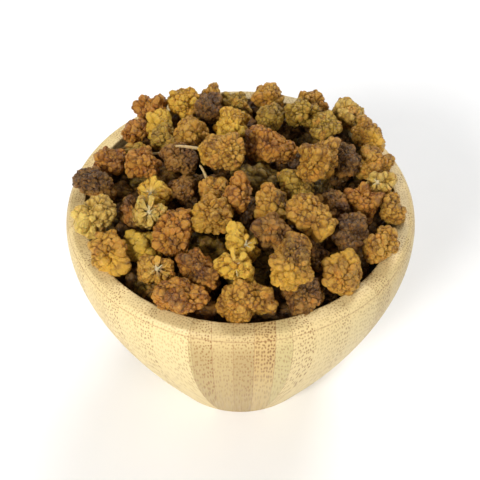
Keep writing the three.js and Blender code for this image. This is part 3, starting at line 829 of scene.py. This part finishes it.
def inner_wall():
    """The inside of the bowl from its lip down to its floor."""
    lip = (RIM_INNER, BOWL_HEIGHT - RIM_ROUND / 2)
    return bezier([lip, (RIM_INNER, BELLY_HEIGHT), (HOLLOW_RADIUS, FLOOR_THICKNESS),
                   (FLOOR_RADIUS, FLOOR_THICKNESS)], 30)


def bowl_profile():
    """The bowl's outline from the middle of its foot over the rim to the middle of its floor."""
    widest = (BOWL_RADIUS, BOWL_HEIGHT - BULGE_DROP)
    below = (BOWL_RADIUS, widest[1] - WALL_STRAIGHT)
    heel = (FOOT_RADIUS + FOOT_ROUND, FOOT_ROUND)
    shoulder = (BOWL_RADIUS, BOWL_HEIGHT - BULGE_DROP / 3)
    edge = (RIM_OUTER + RIM_ROUND, BOWL_HEIGHT - RIM_ROUND)
    over_edge = (RIM_OUTER + RIM_ROUND / 3, BOWL_HEIGHT)
    wall = inner_wall()
    profile = [(r, 0.0) for r in np.linspace(0, FOOT_RADIUS, 8)]
    profile += bezier([profile[-1], (heel[0], 0), heel], 4)[1:]
    profile += bezier([heel, heel, below, widest], 44)[1:]
    profile += bezier([widest, shoulder, edge], 8)[1:]
    profile += bezier([edge, over_edge, (RIM_OUTER, BOWL_HEIGHT)], 3)[1:]
    rim = np.linspace(RIM_OUTER, RIM_INNER + RIM_ROUND / 2, 5)
    profile += [(r, BOWL_HEIGHT) for r in rim[1:]]
    profile += bezier([profile[-1], (RIM_INNER, BOWL_HEIGHT), wall[0]], 3)[1:]
    profile += wall[1:]
    profile += [(r, FLOOR_THICKNESS) for r in np.linspace(FLOOR_RADIUS, 0, 6)[1:]]
    return profile


def lathe(profile, sides, start):
    """Corners and faces of a closed lathe about Z whose profile starts and ends on the axis."""
    rings = profile[1:-1]
    angles = start + np.arange(sides) / sides * 2 * math.pi
    corners = [(r * math.cos(a), r * math.sin(a), z) for r, z in rings for a in angles]
    corners += [(0, 0, profile[0][1]), (0, 0, profile[-1][1])]
    return np.array(corners), ring_faces(len(rings), sides)


def stave_places(piece):
    """Writes on each face corner where it lies in its stave: across, along and through the fibres."""
    mesh = piece.data
    corners = np.array([v.co[:] for v in mesh.vertices]) / MM
    slope = math.radians(FIBRE_SLOPE)
    wedge = 2 * math.pi / STAVES
    rows = []
    for face in mesh.polygons:
        middle = corners[list(face.vertices)].mean(0)
        stave = round((math.atan2(middle[1], middle[0]) + math.pi / 2) / wedge) % STAVES
        heading = stave * wedge - math.pi / 2
        outward = np.array([math.cos(heading), math.sin(heading), 0])
        sideways = np.array([-math.sin(heading), math.cos(heading), 0])
        fibre = -math.cos(slope) * outward - math.sin(slope) * np.array([0, 0, 1])
        for vertex in face.vertices:
            point = corners[vertex]
            out, across = point @ outward, point @ sideways
            along = -math.cos(slope) * out - math.sin(slope) * point[2]
            through = math.sin(slope) * out - math.cos(slope) * point[2]
            joint = max(0, out * math.tan(wedge / 2) - abs(across))
            cut = abs(fibre @ mesh.vertices[vertex].normal)
            rows.append((across, along, through, joint, stave, *STAVE_TONES[stave], cut))
    rows = np.array(rows, np.float32)
    layer = mesh.attributes.new("stave_place", "FLOAT_VECTOR", "CORNER")
    layer.data.foreach_set("vector", rows[:, :3].ravel())
    for column, label in enumerate(("joint", "stave", "pale", "mixed", "cut"), 3):
        layer = mesh.attributes.new(label, "FLOAT", "CORNER")
        layer.data.foreach_set("value", rows[:, column].ravel())


# Materials
class Shader:
    """A material and short ways to add and join its nodes."""

    def __init__(self, name):
        self.material = bpy.data.materials.new(name)
        self.material.use_nodes = True
        self.tree = self.material.node_tree
        self.skin = self.tree.nodes["Principled BSDF"]

    def add(self, kind, inputs=None, **settings):
        node = self.tree.nodes.new("ShaderNode" + kind)
        for label, value in settings.items():
            setattr(node, label, value)
        for label, value in (inputs or {}).items():
            self.put(value, node.inputs[label])
        return node

    def put(self, value, socket):
        if isinstance(value, bpy.types.NodeSocket):
            self.tree.links.new(value, socket)
        else:
            socket.default_value = value

    def math(self, operation, one, two=0.0, three=0.0, clamp=False):
        node = self.add("Math", {0: one, 1: two, 2: three}, operation=operation, use_clamp=clamp)
        return node.outputs[0]

    def times(self, one, two):
        return self.math("MULTIPLY", one, two)

    def total(self, start, terms):
        """start plus each value times its share."""
        for value, share in terms:
            start = self.math("MULTIPLY_ADD", value, share, start)
        return start

    def mix(self, share, one, two):
        node = self.add("Mix", data_type="RGBA")
        for socket, value in ((0, share), (6, one), (7, two)):
            self.put((*value, 1) if isinstance(value, tuple) else value, node.inputs[socket])
        return node.outputs[2]

    def between(self, value, band, to=(0.0, 1.0)):
        """A smooth step from to[0] at the start of the band to to[1] at its end."""
        inputs = dict(zip(("Value", "From Min", "From Max", "To Min", "To Max"), (value, *band, *to)))
        return self.add("MapRange", inputs, interpolation_type="SMOOTHSTEP").outputs[0]

    def noise(self, place, scale, detail=2.0, roughness=0.5):
        inputs = {"Vector": place, "Scale": scale, "Detail": detail, "Roughness": roughness}
        return self.add("TexNoise", inputs).outputs[0]

    def ramp(self, value, stops):
        node = self.add("ValToRGB", {0: value})
        bands = node.color_ramp.elements
        while len(bands) < len(stops):
            bands.new(0.5)
        for band, (place, colour) in zip(bands, stops):
            band.position = place
            band.color = (*colour, 1)
        return node.outputs[0]

    def split(self, vector):
        return self.add("SeparateXYZ", {0: vector}).outputs

    def attribute(self, name, output="Fac"):
        return self.add("Attribute", attribute_name=name).outputs[output]

    def place(self):
        return self.add("TexCoord").outputs["Object"]

    def bump(self, height, strength, depth):
        inputs = {"Strength": strength, "Distance": depth, "Height": height}
        return self.add("Bump", inputs).outputs[0]

    def finish(self, inputs):
        """Puts the last values on the skin, and gives the material."""
        for label, value in inputs.items():
            self.put(value, self.skin.inputs[label])
        return self.material


def mulberry_material(tone, painted_shade=1.0):
    """Dried mulberry skin: each drupelet has its own tone, creases get painted shade and drupelet tops
    painted light, pale specks are partly painted glints, swollen lobes are clear, and the heap's copies
    are darkened as painted shade.
    """

    def shade(colour):
        return tuple(part * painted_shade for part in linear(colour))

    crease, low, middle, high, glow = [shade(colour) for colour in TONES[tone]]
    # The heap's copies are darkened as painted shade
    made = Shader(f"mulberry_{tone}" if painted_shade == 1 else f"mulberry_{tone}_low")
    place = made.place()
    blotch = made.noise(place, BLOTCH_SCALE, 4.0, 0.65)
    grain = made.noise(place, GRAIN_SCALE, 4.0, 0.7)
    edge, swollen = made.attribute("crease"), made.attribute("glow")
    # Painted light: the crease mark raises the level away from creases, so drupelet tops are painted
    # lighter
    level = made.total(LEVEL_START, [
        (made.attribute("lobe"), 0.42),
        (blotch, 1.2),
        (made.attribute("fruit"), 0.12),
        (grain, 0.9),
        (edge, 0.3),
    ])
    colour = made.ramp(level, [(0.12, low), (0.45, middle), (0.85, high)])
    warm = made.between(made.noise(place, BLOTCH_SCALE, 2.0), WARM_BAND, (0.0, 0.5))
    colour = made.mix(warm, colour, shade(WARM))
    bloom = made.between(made.noise(place, BLOOM_SCALE, 3.0, 0.6), BLOOM_BAND, (0.0, BLOOM_SHARE[tone]))
    colour = made.mix(bloom, colour, shade(BLOOM))
    dark = made.times(made.attribute("bruise"), made.between(grain, BRUISE_BAND, (0.9, 0.3)))
    colour = made.mix(dark, colour, shade(BRUISE))
    clear = made.times(swollen, made.between(blotch, BLOTCH_BAND, (0.25, 0.8)))
    colour = made.mix(clear, colour, glow)
    colour = made.mix(made.attribute("pale"), colour, shade(PALE))
    # Painted shade: the crease colour is mixed in towards each crease over a band of varying width, half
    # as much on swollen lobes
    reach = made.between(blotch, BLOTCH_BAND, (1.0, 0.5))
    inside = made.between(edge, (0.0, reach), (0.52, 0.0))
    softer = made.math("MULTIPLY_ADD", swollen, -0.5, 1.0)
    colour = made.mix(made.times(inside, softer), colour, crease)
    colour = made.mix(made.times(made.attribute("spot"), 0.45), colour, crease)
    # Pale specks in the swollen-lobe colour: partly seed specks of the skin, partly painted glints
    fleck_and_glint = made.between(made.noise(place, FLECK_SCALE, 2.0), FLECK_BAND, (0.0, 0.6))
    return made.finish({
        "Base Color": made.mix(fleck_and_glint, colour, glow),
        "Roughness": made.between(blotch, (0.3, 0.7), (0.26, 0.42)),
        "Specular IOR Level": 0.4,
        "Normal": made.bump(made.noise(place, FINE_SCALE, 5.0, 0.7), 1.0, 0.0012),
        "Subsurface Weight": 0.25,
        "Subsurface Radius": (1.0, 0.55, 0.2),
        "Subsurface Scale": 0.0011,
    })


def patchy_material(name, scale, dark, light, roughness):
    """A plain material with soft patches of two tones."""
    made = Shader(name)
    colour = made.ramp(made.noise(made.place(), scale, 3.0), [(0.3, dark), (0.7, light)])
    return made.finish({"Base Color": colour, "Roughness": roughness})


def turning(made, number, turn):
    """A value of 0 to 1 for each strip, by its number."""
    return made.math("FRACT", made.math("MULTIPLY_ADD", number, turn, TURN_START))


def pore_section(made, drawn_out):
    """Where each place lies on a cut across the fibres, which sway a little."""
    sway = made.add("TexNoise", {"Vector": drawn_out, "Scale": 0.5, "Detail": 1.0})
    inputs = {0: sway.outputs["Color"], 1: FIBRE_SWAY, 2: drawn_out}
    swayed = made.split(made.add("VectorMath", inputs, operation="MULTIPLY_ADD").outputs[0])
    return made.add("CombineXYZ", {0: swayed[0], 1: swayed[2]}).outputs[0]


def pore_marks(made, drawn_out, in_strip, dotted):
    """How much each place is a pore."""
    inputs = {"Vector": pore_section(made, drawn_out), "Scale": 1 / PORE_PITCH, "Randomness": PORE_SCATTER}
    pores = made.add("TexVoronoi", inputs, voronoi_dimensions="2D")
    widest = made.math("MULTIPLY_ADD", dotted, DOT_GROWTH, PORE_EDGE)
    pore = made.between(pores.outputs["Distance"], (PORE_CORE, widest), (1.0, 0.0))
    broken = made.between(made.noise(drawn_out, 1.3, 3.0, 0.6), (0.3, 0.5), (0.3, 1.0))
    pore = made.times(pore, made.math("MAXIMUM", dotted, broken))
    return made.times(pore, made.between(in_strip, (0.0, 1.0), (0.7, 1.0)))


def bamboo_lines(made, in_strip, height, mixed):
    """Glue lines between strips, joints between staves, and the turned line under the rim."""
    edge = made.math("ABSOLUTE", made.math("SUBTRACT", in_strip, 0.5))
    glue = made.times(made.between(edge, (0.47, 0.5), (0.0, 0.45)), mixed)
    mitre = made.between(made.attribute("joint"), (0.0, 0.2), (0.35, 0.0))
    below = made.math("ABSOLUTE", made.math("SUBTRACT", height, (BOWL_HEIGHT - RIM_LINE_DROP) * MM))
    turned = made.between(below, (0.0, RIM_LINE_WIDTH * MM), (0.4, 0.0))
    return made.math("MAXIMUM", made.math("MAXIMUM", glue, mitre), turned)


def bamboo_material():
    """Laminated bamboo: strips of different tone, with pores that show as dots or as streaks."""
    made = Shader("bamboo")
    across, along, through = made.split(made.attribute("stave_place", "Vector"))
    height, mixed = made.split(made.place())[2], made.attribute("mixed")
    strip = made.math("DIVIDE", made.math("ADD", across, STRIP_SHIFT), STRIP_WIDTH)
    in_strip = made.math("FRACT", strip)
    number = made.total(made.math("FLOOR", strip), [(made.attribute("stave"), STRIPS_A_STAVE)])
    drawn_out = made.add("CombineXYZ", {
        0: made.math("MULTIPLY_ADD", number, 3.7, across),
        1: made.math("DIVIDE", along, FIBRE_STRETCH),
        2: through,
    }).outputs[0]
    dotted = made.times(made.math("COMPARE", number, DOTTED_STRIP, 0.1),
                       made.between(height, DOTS_GROW, (0.25, 1.0)))
    pore = pore_marks(made, drawn_out, in_strip, dotted)
    strip_tone = turning(made, number, TONE_TURN)
    streaks = made.noise(drawn_out, 1.7, 4.0, 0.62)
    tilt = made.times(made.math("SUBTRACT", strip_tone, 0.45), mixed)
    cloud = made.noise(made.place(), 26, 2.0)
    level = made.total(0.0, [(made.attribute("pale"), 0.5), (tilt, 0.42), (streaks, 0.3), (cloud, 0.2)])
    colour = made.ramp(level, [(place, linear(tone)) for place, tone in BAMBOO_TONES])
    green = made.between(turning(made, number, GREEN_TURN), (0.62, 0.82), (0.0, 0.5))
    colour = made.mix(made.times(green, mixed), colour, linear(GREEN_TONE))
    end_grain = made.between(made.attribute("cut"), (0.35, 0.85), (0.0, 0.55))
    colour = made.mix(end_grain, colour, linear(CUT_TONE))
    dark_strip = made.math("POWER", made.math("SUBTRACT", 1.0, strip_tone), 2.0)
    strength = made.total(0.45, [(dotted, 0.4), (dark_strip, 0.75)])
    faded = made.between(height, PORES_GROW, (0.6, 1.0))
    strength = made.math("MULTIPLY", strength, faded, clamp=True)
    colour = made.mix(made.times(dotted, 0.3), colour, linear(DOTTED_TONE))
    pore_colour = made.mix(dotted, linear(PORE_TONE), linear(DOT_TONE))
    colour = made.mix(made.times(pore, strength), colour, pore_colour)
    lines = bamboo_lines(made, in_strip, height, mixed)
    rough = made.math("SUBTRACT", made.times(streaks, 0.5), made.math("ADD", pore, lines))
    return made.finish({
        "Base Color": made.mix(lines, colour, linear(LINE_TONE)),
        "Roughness": made.between(streaks, (0.3, 0.7), (0.42, 0.56)),
        "Specular IOR Level": 0.35,
        "Normal": made.bump(rough, 0.35, 0.0002),
    })


# Pieces
def dress_bowl():
    corners, faces = lathe(bowl_profile(), STAVES * STAVE_SIDES, -math.pi / 2 - math.pi / STAVES)
    piece = make_piece("bowl_bamboo", bamboo_material(), corners, faces)
    stave_places(piece)
    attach(piece, "root")
    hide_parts("bowl")


def whole_fruit(name, skin, draws):
    """Middle of a fruit, and all of its surfaces together, with its skin first."""
    number = name[-2:]
    form = node_form(name)
    centre, axes = form[:2]
    base = solid_base(*form)
    way, start = RIPE_SIDES.get(number, ((0, 0, 1), 2.0))
    glow = ripe_side(base, axes @ way, start)
    parts = [fruit_surface(base, skin, draws, glow=glow)]
    if number in OPENED:
        parts += opened_lobes(base, axes, *OPENED[number], draws)
    if number in STALKED:
        parts.append(stalk_part(name, centre, axes))
    corners, triangles, marks = gathered(parts)
    way, width = BRUISES.get(number, ((0, 0, 1), LEAST))
    marks["bruise"] = bruise(corners, axes @ way, width)
    return centre, (corners @ axes + centre, triangles, marks)


def dress_fruits(materials):
    """Makes the fruits from the highest down, each clear of the ones before it."""
    skin = round_skin(FRUIT_POINTS)
    slots = {row["node"]: row["material_slot"] for row in frame["record"]["subparts"]}
    fruits = {}
    for index, name in enumerate(sorted(n for n in frame["nodes"] if n.startswith("mulberry_"))):
        fruits[name] = whole_fruit(name, skin, np.random.default_rng(100 + index))
    skins = []
    for name in sorted(fruits, key=lambda fruit: -fruits[fruit][0][2]):
        centre, surfaces = fruits[name]
        keep_off_bowl(surfaces[0])
        keep_clear(surfaces[0], skins)
        body = surfaces[0][:FRUIT_POINTS]
        furthest = length(body - centre).max()
        skins.append((centre, furthest, BVHTree.FromPolygons(body.tolist(), skin[1].tolist())))
        piece = make_piece(f"{name}_fruit", materials[slots[name]], *surfaces)
        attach(piece, "root")
        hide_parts(name)
    return skins


def dress_heap(materials, skins):
    """Makes the fruits of the heap, each clear of the ones on top, as one piece a tone."""
    skin = round_skin(HEAP_POINTS)
    by_tone = {}
    for index, (base, turned, place, tone) in enumerate(heap_poses()):
        draws = np.random.default_rng(500 + index)
        corners, triangles, marks = fruit_surface(base, skin, draws, HEAP_COARSER)
        corners = corners @ turned.T + place
        move_inside(corners)
        keep_off_bowl(corners)
        draw_back(corners, corners.mean(0), skins)
        by_tone.setdefault(tone, []).append((corners, triangles, marks))
    for tone, parts in by_tone.items():
        piece = make_piece(f"heap_{tone}", materials[tone], *gathered(parts))
        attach(piece, "root")
        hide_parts("heap")


def dress_core():
    """The filling under the fruits, lumpy on top, near-black as painted shade for the gaps between them.
    """
    radius, floor = RIM_INNER - 2 * CLEARANCE, FLOOR_THICKNESS + 2 * CLEARANCE
    side = bezier([(radius, BOWL_HEIGHT), (radius, BELLY_HEIGHT), (HOLLOW_RADIUS, floor),
                   (FLOOR_RADIUS, floor)], 24)
    top = BOWL_HEIGHT - EDGE_DROP - CORE_BELOW
    profile = [(0.0, floor)]
    profile += [point for point in reversed(side) if point[1] < top]
    profile += [(r, BOWL_HEIGHT) for r in np.linspace(RIM_INNER - WALL_GAP, 0, CORE_RINGS)]
    corners, faces = lathe(profile, CORE_SIDES, 0)
    on_top = corners[:, 2] >= BOWL_HEIGHT - LEAST
    swell = wrinkles(corners, np.random.default_rng(7), CORE_LUMP_LENGTH) * CORE_LUMP
    for index in np.nonzero(on_top)[0]:
        x, y, _ = corners[index]
        corners[index, 2] = crown(x, y) - CORE_BELOW - CORE_DROP + swell[index]
    # The core is coloured near-black as painted shade
    material = patchy_material("mulberry_depth_shade", 300, *map(linear, CORE_SHADE_TONES), 0.8)
    piece = make_piece("heap_core", material, corners, faces)
    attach(piece, "root")
    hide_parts("heap")


# Studio
def add_floor():
    half = FLOOR_HALF / MM
    corners = [(-half, -half, 0), (half, -half, 0), (half, half, 0), (-half, half, 0)]
    material = patchy_material("pale_floor", 40, *FLOOR_TONES, 0.9)
    floor = make_piece("floor", material, corners, [(0, 1, 2, 3)])


def add_lights():
    aim = Vector(LOOK_AT) * MM
    for name, (place, size, strength, colour) in LIGHTS.items():
        light = bpy.data.lights.new(name, "AREA")
        light.shape = "DISK"
        light.size = size
        light.energy = strength
        light.color = colour
        lamp = add_to_scene(name, light)
        lamp.location = place
        lamp.rotation_euler = (aim - Vector(place)).to_track_quat("-Z", "Y").to_euler()
    world = bpy.data.worlds.new("studio")
    world.use_nodes = True
    sky = world.node_tree.nodes["Background"]
    sky.inputs[0].default_value = (*SKY_COLOUR, 1)
    sky.inputs[1].default_value = SKY_STRENGTH
    bpy.context.scene.world = world
    bpy.context.scene.view_settings.view_transform = "Standard"


def add_camera():
    camera = bpy.data.cameras.new("camera")
    camera.sensor_width = SENSOR
    camera.lens = LENS
    camera.clip_start = 0.01
    eye = add_to_scene("camera", camera)
    slope = math.radians(CAMERA_ELEVATION)
    aim = Vector(LOOK_AT) * MM
    back = Vector((0, -math.cos(slope), math.sin(slope)))
    eye.location = aim + back * CAMERA_DISTANCE * MM
    eye.rotation_euler = (-back).to_track_quat("-Z", "Y").to_euler()
    bpy.context.scene.camera = eye


add_camera()
add_lights()
add_floor()
dress_bowl()
fruit_skins = dress_fruits({tone: mulberry_material(tone) for tone in TONES})
# The heap's fruits use copies of the fruit materials darkened as painted shade
dress_heap({tone: mulberry_material(tone, HEAP_PAINTED_SHADE) for tone in TONES}, fruit_skins)
dress_core()
